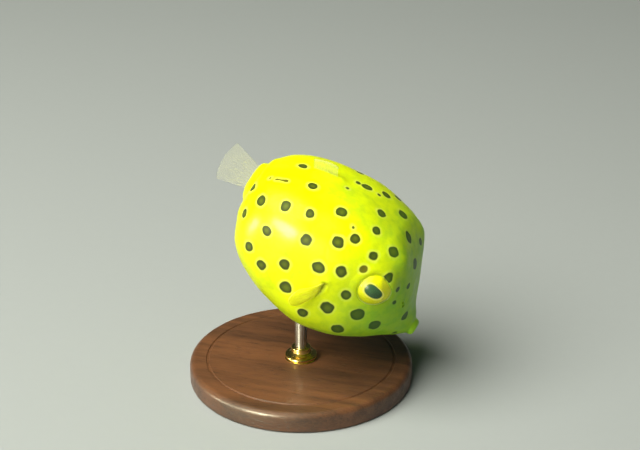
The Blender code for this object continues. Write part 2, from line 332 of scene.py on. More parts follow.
def to_stage(points):
    """Points of the fish's own frame, in millimetres, as metres over the stand."""
    tilt = np.array(
        ((cos(NOSE_DOWN), 0, sin(NOSE_DOWN)), (0, 1, 0), (-sin(NOSE_DOWN), 0, cos(NOSE_DOWN)))
    )
    return (np.asarray(points) @ tilt.T + (BODY_AHEAD, 0, BODY_LEVEL)) * MM


def unit(vector):
    return vector / np.linalg.norm(vector)


def on_left(points):
    """The points with the right side laid over the left."""
    return points * (1, 0, 1) + np.abs(points) * (0, 1, 0)


def distance_to(points, place):
    return np.linalg.norm(points - place, axis=1)


def smooth_step(value, start, end):
    """0 at start, 1 at end, with soft ends."""
    t = np.clip((value - start) / (end - start), 0, 1)
    return t * t * (3 - 2 * t)


def bell(value, reach):
    """1 where the value is 0, and fading softly over the reach."""
    return np.exp(-((value / reach) ** 2))


def slopes(x, y):
    """Slopes of a smooth curve through the points (x, y) that never overshoots them."""
    step = np.diff(x)
    rise = np.diff(y) / step
    inner = np.zeros(len(rise) - 1)
    same_way = rise[:-1] * rise[1:] > 0
    near = 2 * step[1:] + step[:-1]
    far = step[1:] + 2 * step[:-1]
    before = rise[:-1][same_way]
    after = rise[1:][same_way]
    inner[same_way] = (near + far)[same_way] / (near[same_way] / before + far[same_way] / after)
    return np.concatenate([[rise[0]], inner, [rise[-1]]])


def between(table, at):
    """Every further column of the table at the given places along its first column."""
    table = np.array(table, float)
    x = table[:, 0]
    i = np.clip(np.searchsorted(x, at) - 1, 0, len(x) - 2)
    step = x[i + 1] - x[i]
    t = (at - x[i]) / step
    values = []
    for column in table.T[1:]:
        m = slopes(x, column)
        values.append(
            (1 + 2 * t) * (1 - t) ** 2 * column[i]
            + t * (1 - t) ** 2 * step * m[i]
            + t * t * (3 - 2 * t) * column[i + 1]
            + t * t * (t - 1) * step * m[i + 1]
        )
    return np.stack(values, -1)


def quarter(half, reach, squareness, count):
    """A quarter of a squared oval, evenly stepped along it, from its side to its top."""
    angle = np.linspace(0, pi / 2, QUARTER_SAMPLES)
    y = half * np.abs(np.cos(angle)) ** (2 / squareness)
    z = reach * np.abs(np.sin(angle)) ** (2 / squareness)
    along = np.concatenate([[0], np.cumsum(np.hypot(np.diff(y), np.diff(z)))])
    want = np.linspace(0, along[-1], count + 1)
    return np.interp(want, along, y), np.interp(want, along, z)


def section_ring(values, sides):
    """One ring of the skin, evenly stepped, from the left side up over the back."""
    x, top, bottom, half, level, above, below = values
    count = sides // 4
    upper_y, upper_z = quarter(half, top - level, above, count)
    lower_y, lower_z = quarter(half, level - bottom, below, count)
    y = np.concatenate([upper_y[:-1], -upper_y[:0:-1], -lower_y[:-1], lower_y[:0:-1]])
    z = np.concatenate([upper_z[:-1], upper_z[:0:-1], -lower_z[:-1], -lower_z[:0:-1]])
    return np.stack([np.full(sides, x), y, z + level], 1)


def swollen(points):
    """The points pushed out by the swellings of both sides."""
    moved = points.copy()
    for centre, way, height, reach in SWELLINGS:
        for side in (1, -1) if centre[1] else (1,):
            mirror = np.array((1, side, 1))
            swelling = height * bell(distance_to(points, centre * mirror), reach)
            moved += np.outer(swelling, way * mirror)
    return moved


def ring_steps(rings):
    """Steps of the skin's rings from the mouth to the tail, closest at the lips and face."""
    steps = np.linspace(SECTIONS[-1][0], SECTIONS[0][0], STEP_SAMPLES)
    sampled = np.array([section_ring(row, STEP_SIDES) for row in between(SECTIONS, steps)])
    moved = np.linalg.norm(np.diff(sampled, axis=0), axis=2).mean(1)
    middle = (steps[1:] + steps[:-1]) / 2
    closeness = 1 + 0.6 * smooth_step(middle, 2.5, 4.5) + 1.0 * smooth_step(middle, 12.2, 12.8)
    along = np.concatenate([[0], np.cumsum(moved * closeness)])
    return np.interp(np.linspace(0, along[-1], rings + 1), along, steps)


def distance_to_path(points, path):
    """Distance of each point to a path of straight pieces, and how far along it that is."""
    path = np.array(path, float)
    best = np.full(len(points), 1e9)
    place = np.zeros(len(points))
    for i in range(len(path) - 1):
        way = path[i + 1] - path[i]
        t = np.clip((points - path[i]) @ way / (way @ way), 0, 1)
        distance = distance_to(points, path[i] + np.outer(t, way))
        nearer = distance < best
        best[nearer] = distance[nearer]
        place[nearer] = (i + t[nearer]) / (len(path) - 1)
    return best, place


def curve_through(places, count=40):
    """A smooth path through a few places."""
    places = np.array(places, float)
    table = np.column_stack([np.arange(len(places)), places])
    return between(table, np.linspace(0, len(places) - 1, count))


# ---------------------------------------------------------------- pieces


def clear_selection():
    if bpy.context.object and bpy.context.object.mode != "OBJECT":
        bpy.ops.object.mode_set(mode="OBJECT")
    bpy.ops.object.select_all(action="DESELECT")


def select_only(piece):
    clear_selection()
    piece.select_set(True)
    bpy.context.view_layer.objects.active = piece


def new_piece(name, add_primitive, **settings):
    """Adds a primitive, names it and puts its place into its mesh."""
    clear_selection()
    add_primitive(**settings)
    piece = bpy.context.object
    piece.name = name
    piece.data.name = name
    bpy.ops.object.transform_apply(location=True, rotation=True, scale=True)
    return piece


def read_vectors(rows, field):
    flat = np.empty(len(rows) * 3)
    rows.foreach_get(field, flat)
    return flat.reshape(-1, 3)


def read_points(piece):
    return read_vectors(piece.data.vertices, "co")


def write_points(piece, points):
    piece.data.vertices.foreach_set("co", np.asarray(points, np.float32).ravel())
    piece.data.update()


def write_attributes(piece, **values):
    """Stores a number or a vector at each point, under each name."""
    for name, numbers in values.items():
        kind, field = ("FLOAT", "value") if numbers.ndim == 1 else ("FLOAT_VECTOR", "vector")
        attribute = piece.data.attributes.new(name, kind, "POINT")
        attribute.data.foreach_set(field, numbers.astype(np.float32).ravel())


def mend_normals(piece):
    made = bmesh.new()
    made.from_mesh(piece.data)
    bmesh.ops.remove_doubles(made, verts=made.verts, dist=1e-7)
    bmesh.ops.recalc_face_normals(made, faces=made.faces)
    made.to_mesh(piece.data)
    made.free()


def finish_piece(piece, material, slot, *nodes):
    """Gives a piece its finish, fixes it to the body and hides the solids it replaces. The slot is
    not used.
    """
    piece.data.materials.clear()
    piece.data.materials.append(material)
    piece.data.shade_smooth()
    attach(piece, "root")
    if nodes:
        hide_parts(*nodes)


# ---------------------------------------------------------------- materials

SOFT = {"interpolation_type": "SMOOTHSTEP"}  # a map range with soft ends
COLOURS = {"data_type": "RGBA"}  # a mix of colours: 0 is its factor, 6 and 7 what it mixes


def add_node(tree, kind, inputs=(), output=0, **settings):
    """Adds a shader node with its settings and links, and gives one of its outputs.

    The inputs are the first sockets' in their order, or are named in a dictionary. Each one is
    another node's output or a plain value, and a colour is its red, green and blue.
    """
    node = tree.nodes.new("ShaderNode" + kind)
    for name, value in settings.items():
        setattr(node, name, value)
    for key, value in inputs.items() if isinstance(inputs, dict) else enumerate(inputs):
        socket = node.inputs[key]
        if isinstance(value, bpy.types.NodeSocket):
            tree.links.new(value, socket)
        else:
            socket.default_value = (*value, 1.0) if socket.type == "RGBA" else value
    return node.outputs[output] if node.outputs else None


def new_material(name):
    """An empty material, a way to add nodes to it, and its object coordinates in millimetres."""
    made = bpy.data.materials.new(name)
    made.use_nodes = True
    made.node_tree.nodes.clear()
    add = partial(add_node, made.node_tree)
    place = add("TexCoord", output="Object")
    return made, add, add("Mapping", {"Vector": place, "Scale": (1 / MM, 1 / MM, 1 / MM)})


def skin_material(settings):
    """Living fish skin: smooth, wet, slightly clear, over bony plates.

    It gives broad soft highlights with a sharper wet gloss over them. The pigment is lemon yellow
    with a deeper mottling. Painted green shade darkens the snout, chin, belly and top of the back,
    and greens the spots there; painted shade fills the gill slits, nostril pits and mouth. The
    spots are dark rims round lighter hearts, each in a pale ring. The eye's rim gets a painted
    highlight on its front and lower side. Six-sided plates 2 mm wide and grains 0.3 mm wide only
    just show.
    """
    made, add, place = new_material("wet_boxfish_skin")
    edge, tint, brown, pale, fold = (
        add("Attribute", output="Fac", attribute_name=name)
        for name in ("spot_edge", "tint", "brown", "pale", "fold")
    )
    # Mottling in patches about 2 mm wide.
    patches = add("TexNoise", {"Vector": place, "Scale": 0.55, "Detail": 4.0, "Roughness": 0.6})
    mottle = add("MapRange", (patches, 0.42, 0.68), **SOFT)
    # The spots' edges wander a little: soft bends about 1 mm long.
    bends = add("TexNoise", {"Vector": place, "Scale": 1.1, "Detail": 1.0, "Roughness": 0.3})
    ragged = add("Math", (bends, 0.4, -0.2), operation="MULTIPLY_ADD")
    edge = add("Math", (edge, ragged), operation="ADD")
    ring = add("MapRange", (edge, 0.05, 0.40, 0.42, 0.0), **SOFT)
    heart = add("MapRange", (edge, -0.08, -0.6), **SOFT)
    inside = add("MapRange", (edge, 0.09, -0.07), **SOFT)
    # The painted green shade comes in blotches about 1 mm wide where it is neither full nor
    # absent.
    blotches = add("TexNoise", {"Vector": place, "Scale": 0.9, "Detail": 4.0, "Roughness": 0.55})
    blotch = add("MapRange", (blotches, 0.42, 0.66, -0.1, 0.6), **SOFT)
    yellow_left = add("Math", (1.0, tint), operation="SUBTRACT", use_clamp=True)
    uneven = add("Math", (tint, yellow_left), operation="MULTIPLY")
    green = add("Math", (uneven, blotch, tint), operation="MULTIPLY_ADD")

    spot = settings.spot
    for cover, tone in (
        (heart, settings.spot_heart),
        # spots under the painted green shade
        (tint, settings.spot_in_green_shade),
        (brown, settings.spot_brown),
    ):
        spot = add("Mix", {0: cover, 6: spot, 7: tone}, 2, **COLOURS)
    base = settings.lemon
    for cover, tone in (
        (mottle, settings.deep),
        (ring, settings.halo),
        # painted green shade on the snout, chin, belly and top of the back
        (green, settings.olive),
        (inside, spot),
        # painted highlight on the front and lower side of the eye's rim
        (pale, settings.pale),
        # painted shade in the gill slits, nostril pits and mouth
        (fold, settings.crease),
    ):
        base = add("Mix", {0: cover, 6: base, 7: tone}, 2, **COLOURS)

    plates = add(
        "TexVoronoi",
        {"Vector": place, "Scale": 0.5, "Randomness": 0.45},
        feature="DISTANCE_TO_EDGE",
    )
    plateau = add("MapRange", (plates, 0.0, 0.16, 0.0, 0.6), **SOFT)
    grains = add("TexVoronoi", {"Vector": place, "Scale": 3.2}, feature="SMOOTH_F1")
    relief = add("Math", (grains, -0.28, plateau), operation="MULTIPLY_ADD")
    slick = add("TexNoise", {"Vector": place, "Scale": 1.4, "Detail": 3.0})
    shader = add(
        "BsdfPrincipled",
        {
            "Base Color": base,
            "Roughness": add("MapRange", (slick, 0.3, 0.7, 0.33, 0.43)),
            "IOR": 1.38,
            "Specular IOR Level": 0.13,
            "Normal": add("Bump", {"Height": relief, "Strength": 0.3, "Distance": 0.05 * MM}),
            "Subsurface Weight": 0.12,
            "Subsurface Radius": (1.0, 0.8, 0.15),
            "Subsurface Scale": 0.5 * MM,
            "Coat Weight": 0.2,
            "Coat Roughness": 0.2,
            "Coat IOR": 1.4,
        },
    )
    add("OutputMaterial", {"Surface": shader})
    return made


def iris_material(settings):
    """A fish's iris: yellow pigment with olive gold streaks, painted olive gold shade on its front
    side, and a pale collar round a glassy pupil.
    """
    made, add, _ = new_material("boxfish_iris")
    edge, collar, fore, spot_edge = (
        add("Attribute", output="Fac", attribute_name=name)
        for name in ("pupil_edge", "collar", "fore", "spot_edge")
    )
    streak = add("Attribute", output="Vector", attribute_name="streak")
    spokes = add("TexNoise", {"Vector": streak, "Scale": 1.0, "Detail": 3.0, "Roughness": 0.6})
    gilt = add("MapRange", (spokes, 0.45, 0.75, 0.0, 0.25), **SOFT)
    # The iris's front side gets painted olive shade, added to its gold streaks.
    gold = add("Math", (fore, 0.45, gilt), operation="MULTIPLY_ADD", use_clamp=True)
    pale = add("Math", (collar, 0.6), operation="MULTIPLY")
    inside = add("MapRange", (edge, 0.05, -0.05), **SOFT)
    on_spot = add("MapRange", (spot_edge, 0.09, -0.07), **SOFT)
    base = settings.iris
    for cover, tone in (
        (gold, settings.iris_gold_and_front_shade),
        (pale, settings.collar),
        (inside, settings.pupil),
        (on_spot, settings.spot),
    ):
        base = add("Mix", {0: cover, 6: base, 7: tone}, 2, **COLOURS)
    shader = add(
        "BsdfPrincipled",
        {
            "Base Color": base,
            "Roughness": add("MapRange", (inside, 0.0, 1.0, 0.42, 0.15)),
            "IOR": 1.36,
            "Specular IOR Level": 0.25,
            "Subsurface Weight": 0.3,
            "Subsurface Radius": (1.0, 0.9, 0.2),
            "Subsurface Scale": 0.6 * MM,
        },
    )
    add("OutputMaterial", {"Surface": shader})
    return made


def cornea_material():
    """A living cornea: clear and wet, seen only by its gloss."""
    made, add, _ = new_material("clear_cornea")
    clear = add("BsdfTransparent", {"Color": (1, 1, 1)})
    gloss = add("BsdfGlossy", {"Color": (1, 1, 1), "Roughness": 0.22})
    film = add("Math", (add("Fresnel", {"IOR": 1.33}), 0.25), operation="MULTIPLY")
    add("OutputMaterial", {"Surface": add("MixShader", (film, clear, gloss))})
    return made


def membrane_material(name, web, ray, edge_shade_tone, web_cover, ray_cover, softness):
    """Fin skin a tenth of a millimetre thick: clear and glossy between denser, milkier rays."""
    made, add, place = new_material(name)
    rays, margin = (
        add("Attribute", output="Fac", attribute_name=part) for part in ("ray", "margin")
    )
    on_ray = add("MapRange", (rays, 0.1, 0.9), **SOFT)
    cover = add("MapRange", (on_ray, 0.0, 1.0, web_cover, ray_cover))
    clouds = add("TexNoise", {"Vector": place, "Scale": 0.8, "Detail": 2.0})
    cloudy = add("MapRange", (clouds, 0.3, 0.7, 0.9, 1.1))
    cover = add("Math", (cover, cloudy), operation="MULTIPLY")
    # The back fin's outer edge gets painted shade, and is less clear there.
    cover = add("Math", (margin, cover), operation="MAXIMUM")
    base = web
    for there, tone in ((on_ray, ray), (margin, edge_shade_tone)):
        base = add("Mix", {0: there, 6: base, 7: tone}, 2, **COLOURS)
    shader = add(
        "BsdfPrincipled",
        {
            "Base Color": base,
            "Roughness": 0.35,
            "IOR": 1.35,
            "Alpha": cover,
            "Subsurface Weight": softness,
            "Subsurface Radius": (1.0, 0.9, 0.4),
            "Subsurface Scale": 0.5 * MM,
        },
    )
    add("OutputMaterial", {"Surface": shader})
    return made


def walnut_material(settings):
    """Oiled walnut, face grain: wandering brown growth bands 1 to 3 mm wide, short dark pores."""
    made, add, place = new_material("oiled_walnut")
    drawn = add("Mapping", {"Vector": place, "Scale": (0.07, 1.0, 1.0)})
    growth = add("TexNoise", {"Vector": drawn, "Scale": 0.55, "Detail": 5.0, "Roughness": 0.62})
    bands = add("MapRange", (growth, 0.32, 0.68), **SOFT)
    fibres = add("TexNoise", {"Vector": drawn, "Scale": 6.0, "Detail": 3.0, "Roughness": 0.7})
    fibre = add("MapRange", (fibres, 0.3, 0.7, 0.0, 0.35))
    vessels = add("TexNoise", {"Vector": drawn, "Scale": 11.0, "Detail": 1.0})
    pores = add("MapRange", (vessels, 0.62, 0.72, 0.0, 0.7), **SOFT)
    base = settings.wood
    for cover, tone in (
        (bands, settings.wood_dark),
        (fibre, settings.wood_fibre),
        (pores, settings.wood_pore),
    ):
        base = add("Mix", {0: cover, 6: base, 7: tone}, 2, **COLOURS)
    hollows = {"Height": pores, "Strength": 0.5, "Distance": 0.06 * MM}
    shader = add(
        "BsdfPrincipled",
        {
            "Base Color": base,
            "Roughness": add("MapRange", (bands, 0.0, 1.0, 0.36, 0.5)),
            "IOR": 1.48,
            "Normal": add("Bump", hollows, invert=True),
            "Coat Weight": 0.15,
            "Coat Roughness": 0.3,
        },
    )
    add("OutputMaterial", {"Surface": shader})
    return made


def metal_material(name, tone, low, high, stretch):
    """A worked metal: its tool marks run one way and vary its roughness."""
    made, add, place = new_material(name)
    drawn = add("Mapping", {"Vector": place, "Scale": stretch})
    marks = add("TexNoise", {"Vector": drawn, "Scale": 1.0, "Detail": 3.0, "Roughness": 0.6})
    worn = add("MapRange", (marks, 0.3, 0.7, 0.0, 0.25))
    shader = add(
        "BsdfPrincipled",
        {
            "Base Color": add("Mix", {0: worn, 6: tone, 7: [c * 0.7 for c in tone]}, 2, **COLOURS),
            "Metallic": 1.0,
            "Roughness": add("MapRange", (marks, 0.3, 0.7, low, high)),
            "Normal": add("Bump", {"Height": marks, "Strength": 0.25, "Distance": 0.01 * MM}),
        },
    )
    add("OutputMaterial", {"Surface": shader})
    return made


def paper_material(tone):
    """Matt paper, the same all over but for a faint tooth."""
    made, add, place = new_material("matt_paper")
    tooth = add("TexNoise", {"Vector": place, "Scale": 0.8, "Detail": 2.0})
    shade = add("MapRange", (tooth, 0.3, 0.7, 0.0, 0.04))
    base = add("Mix", {0: shade, 6: tone, 7: [c * 0.8 for c in tone]}, 2, **COLOURS)
    matt = {"Base Color": base, "Roughness": 0.9, "Specular IOR Level": 0.0}
    add("OutputMaterial", {"Surface": add("BsdfPrincipled", matt)})
    return made


# ---------------------------------------------------------------- the skin


def place_on_skin(along, round_back):
    """The point of the skin at a place along the body and an angle round it from the back."""
    step = np.interp(along, [row[1] for row in BODY_SECTIONS], [row[0] for row in BODY_SECTIONS])
    ring = swollen(section_ring(between(SECTIONS, np.array([step]))[0], SPOT_SIDES))
    turn = np.arctan2(-ring[:, 1], ring[:, 2])
    gap = np.angle(np.exp(1j * (turn - radians(round_back))))
    return ring[np.argmin(np.abs(gap))]


def all_spots(skin_points, coarse):
    """Centre and radius of every spot: the listed ones, their mirrored kin, and the belly's.

    The belly's are at some of the first, coarse points, because the points that the skin's
    refining adds come in another order in every run.
    """
    centres = [place_on_skin(x, turn) for x, turn, _ in SPOTS]
    radii = [width / 2 for _, _, width in SPOTS]
    chance = np.random.default_rng(SPOT_SEED)

    def add_if_clear(centre, radius, spacing):
        if distance_to(np.array(centres), centre).min() > spacing:
            centres.append(centre)
            radii.append(radius)

    for x, turn, width in SPOTS:
        if turn < MIDDLE_OF_BACK:
            continue
        shifted = np.clip(x + chance.uniform(-KIN_SHIFT, KIN_SHIFT), *KIN_STRETCH)
        kin = place_on_skin(shifted, -turn + chance.uniform(-KIN_TURN, KIN_TURN))
        add_if_clear(kin, width / 2 * chance.uniform(*KIN_WIDTH), KIN_SPACING)
    along, across, up = skin_points.T
    left_flank, underside = (across > 1.5) & (up < 5.0), (across > -4.5) & (up < -6.2)
    bare = (left_flank | underside) & (along > FILL_STRETCH[0]) & (along < FILL_STRETCH[1])
    for index in chance.permutation(np.flatnonzero(bare))[:FILL_TRIES]:
        centre = skin_points[index]
        if index < coarse and np.linalg.norm(on_left(centre) - EYE_PLACE) > EYE_CLEARANCE:
            add_if_clear(centre, chance.uniform(*FILL_RADIUS), FILL_SPACING)
    for x, turn, width in FLECKS:
        centres.append(place_on_skin(x, turn))
        radii.append(width / 2)
    return np.array(centres), np.array(radii)


def spot_edges(points, centres, radii):
    """Distance of each point outside the nearest spot's edge, in millimetres; below 0 inside."""
    edge = np.full(len(points), FAR)
    for centre, radius in zip(centres, radii):
        edge = np.minimum(edge, distance_to(points, centre) - radius)
    return edge


def dash_edge(points):
    """Distance of each point outside the edge of the thin dash."""
    start, end, width = DASH
    ends = (place_on_skin(*start), place_on_skin(*end))
    return distance_to_path(points, ends)[0] - width / 2


def brownness(points):
    """How brown the marks are at each point, from 0 to 1."""
    marks = [place_on_skin(*mark) for mark in BROWN_MARKS]
    nearest = np.min([distance_to(points, mark) for mark in marks], axis=0)
    return smooth_step(nearest, 1.1, 0.8)


def snout_tint(points):
    """How much painted green shade the skin gets: most on the snout and chin, less on the back and
    belly, and lifted over the lit brow.
    """
    snout = 0.8 * smooth_step(points[:, 0], 0.6, 10.0)
    back = 0.22 * smooth_step(points[:, 2], 6.6, 8.0)
    belly = 0.5 * smooth_step(-points[:, 2], 3.8, 8.0) * smooth_step(points[:, 0], -7, 4)
    green = snout + (back + belly) * (1 - 0.5 * snout)
    # The brow above and behind the eye is painted as lit: its painted green shade is mostly
    # lifted.
    brow = bell(distance_to(on_left(points), LIT_BROW), 2.4)
    return np.clip(green, 0, 1) * (1 - 0.8 * brow)


def orbit_axes():
    """The way the left eye's orbit faces, and the ways up and forward across it."""
    facing = unit(ORBIT_FACING)
    upward = unit(np.array((0, 0, 1.0)) - facing * facing[2])
    return facing, upward, np.cross(facing, upward)


def rim_reach(turn):
    """How far the eye's opening reaches from its middle: less where the brow droops over it.

    The turn is 0 at the opening's front and a quarter turn at its top.
    """
    return OPENING_RADIUS * (1 - BROW_DROOP * np.clip(np.cos(turn - BROW_TURN), 0, 1) ** 4)


def flattened(height, radius):
    """Height over the eye's middle, once the part of the ball in the opening is eased flatter."""
    proud = height - np.sqrt(radius**2 - OPENING_RADIUS**2)
    return height - (1 - IRIS_BULGE) * np.maximum(proud, 0)


def orbit(points, lid, eye_radius):
    """Draws the left side's skin close up to the eyeball all round, and tucks its edge inside."""
    facing, upward, forward = orbit_axes()
    offset = points - EYE_PLACE
    out = offset @ facing
    flat = offset - np.outer(out, facing)
    reach = np.linalg.norm(flat, axis=1)
    rim = rim_reach(np.arctan2(flat @ upward, flat @ forward))
    moved = points.copy()

    crest = np.sqrt((eye_radius + lid) ** 2 - np.minimum(reach, rim) ** 2)
    crest = flattened(crest, eye_radius + lid)
    t = smooth_step(reach, rim, ORBIT_REACH)
    raised = out * t + crest * (1 - t) - TUCK * smooth_step(reach, rim + 0.1, rim)
    near = (out > -2.5) & (reach < ORBIT_REACH) & (reach >= rim)
    moved[near] = (EYE_PLACE + flat + raised[:, None] * facing)[near]

    inside = (out > 0) & (reach < rim)
    bowl = eye_radius - BOWL_GAP
    start = np.arcsin(rim / bowl)
    swing = start + (pi - start) * (1 - reach / rim)
    sideways = flat / np.maximum(reach, 1e-6)[:, None]
    depth = flattened(bowl * np.cos(swing), bowl)
    bowl_points = EYE_PLACE + sideways * bowl * np.sin(swing)[:, None] + np.outer(depth, facing)
    moved[inside] = bowl_points[inside]
    return moved


def body_features(points, normals, slit_depth):
    """Gill slit, fin bases, nostrils and the edge of the bony case, on the left side's points.

    Gives the moved points, and from 0 to 1 how much painted shade each one gets in the gill slit,
    the nostril pits and the mouth.
    """
    path = curve_through(GILL_SLIT)
    distance, along = distance_to_path(points, path)
    groove = bell(distance, GILL_GROOVE_REACH)
    groove *= smooth_step(along, 0.0, 0.2) * smooth_step(along, 1.0, 0.6)
    behind, tall = path.mean(0) + (-0.55, 0, -0.1), np.array((1, 1, 0.55))
    lip = bell(distance_to(points * tall, behind * tall), GILL_LIP_REACH)
    rise = GILL_LIP * lip - slit_depth * groove
    # The gill slit's groove gets painted shade.
    fold = 0.6 * groove

    distance = distance_to_path(points * (1, 0, 1) + (0, 7.4, 0), PECTORAL[0])[0]
    rise += PECTORAL_BASE * bell(distance, PECTORAL_BASE_REACH) * (points[:, 1] > 5)
    for root in (DORSAL[0], ANAL[0]):
        distance = distance_to_path(points, np.array(root) * (1, 0, 1.12))[0]
        rise += FIN_BASE * bell(distance, FIN_BASE_REACH)

    for place in NOSTRILS:
        distance = distance_to(points, place)
        pit = bell(distance, NOSTRIL_PIT_REACH)
        rise += NOSTRIL_RIM * bell(distance - NOSTRIL_RADIUS, NOSTRIL_RIM_REACH)
        rise -= NOSTRIL_PIT * pit
        # The nostril pits get painted shade.
        fold = np.maximum(fold, 0.8 * pit)

    along = points[:, 0]
    rise += CASE_RIM * bell(along - CASE_END, CASE_RIM_REACH)
    rise -= CASE_GROOVE * bell(along - CASE_GROOVE_AT, CASE_GROOVE_REACH)

    # The inside of the mouth gets painted shade.
    within = np.hypot(points[:, 1], 1.6 * (points[:, 2] - MOUTH_LEVEL)) < 0.86
    mouth = smooth_step(along, 13.25, 12.9) * within * (along > 12.0)
    return points + normals * rise[:, None], np.maximum(fold, 0.9 * mouth)


class MakeSkin(bpy.types.Operator):
    """Makes the one skin that covers head, mouth, trunk and tail stalk"""

    bl_idname = "boxfish.make_skin"
    bl_label = "Skin"

    def execute(self, context):
        settings = context.scene.boxfish_skin
        sides, rings = settings.sides, settings.rings
        skin = new_piece(
            "skin",
            bpy.ops.mesh.primitive_uv_sphere_add,
            segments=sides,
            ring_count=rings,
            radius=1.0,
            rotation=(0, pi / 2, 0),
        )
        start = read_points(skin)
        ring = np.rint(np.arccos(np.clip(start[:, 0], -1, 1)) / pi * rings).astype(int)
        side = np.rint(np.arctan2(start[:, 2], start[:, 1]) / (2 * pi) * sides).astype(int) % sides
        grid = np.array([section_ring(row, sides) for row in between(SECTIONS, ring_steps(rings))])
        for pole in (0, rings):
            grid[pole] = grid[pole].mean(0)
        write_points(skin, swollen(grid[ring, side]))
        self.refine(skin)

        points = read_points(skin)
        centres, radii = all_spots(points, len(start))
        mirror = np.where(points[:, 1:2] < 0, -1.0, 1.0) * (0, 1, 0) + (1, 0, 1)
        normals = read_vectors(skin.data.vertex_normals, "vector")
        shaped, fold = body_features(points * mirror, normals * mirror, settings.slit_depth / MM)
        eye = context.scene.boxfish_eyes
        shaped = orbit(shaped, eye.lid / MM, eye.radius / MM)
        write_points(skin, to_stage(shaped * mirror))
        write_attributes(
            skin,
            spot_edge=np.minimum(spot_edges(points, centres, radii), dash_edge(points)),
            # Painted green shade on the snout, chin, belly and top of the back.
            tint=snout_tint(points),
            # Painted shade in the gill slit, the nostril pits and the mouth.
            fold=fold,
            brown=brownness(points),
        )
        skin["spot_places"] = centres.ravel().tolist()
        skin["spot_radii"] = radii.tolist()
        finish_piece(
            skin, skin_material(settings), "skin", "head", "mouth", "trunk", "tail_stalk"
        )
        return {"FINISHED"}

    def refine(self, skin):
        """Divides the faces round both eyes, gill slits and nostrils."""
        points = on_left(read_points(skin))
        close = distance_to(points, EYE_PLACE) < 3.6
        close |= distance_to_path(points, curve_through(GILL_SLIT))[0] < 0.9
        for place in NOSTRILS:
            close |= distance_to(points, place) < 0.7
        bpy.ops.object.mode_set(mode="EDIT")
        bpy.ops.mesh.select_mode(type="FACE")
        made = bmesh.from_edit_mesh(skin.data)
        for face in made.faces:
            face.select_set(all(close[v.index] for v in face.verts))
        bmesh.update_edit_mesh(skin.data)
        bpy.ops.mesh.subdivide(number_cuts=1)
        bpy.ops.object.mode_set(mode="OBJECT")


# ---------------------------------------------------------------- the eyes


def eye_axes(side):
    """The ways forward and up across one side's eye, and the way it looks, as three rows."""
    gaze = unit(GAZE)
    forward = unit(np.array((1.0, 0, 0)) - gaze * gaze[0])
    return np.array((forward, np.cross(forward, gaze), gaze)) * (1, side, 1)


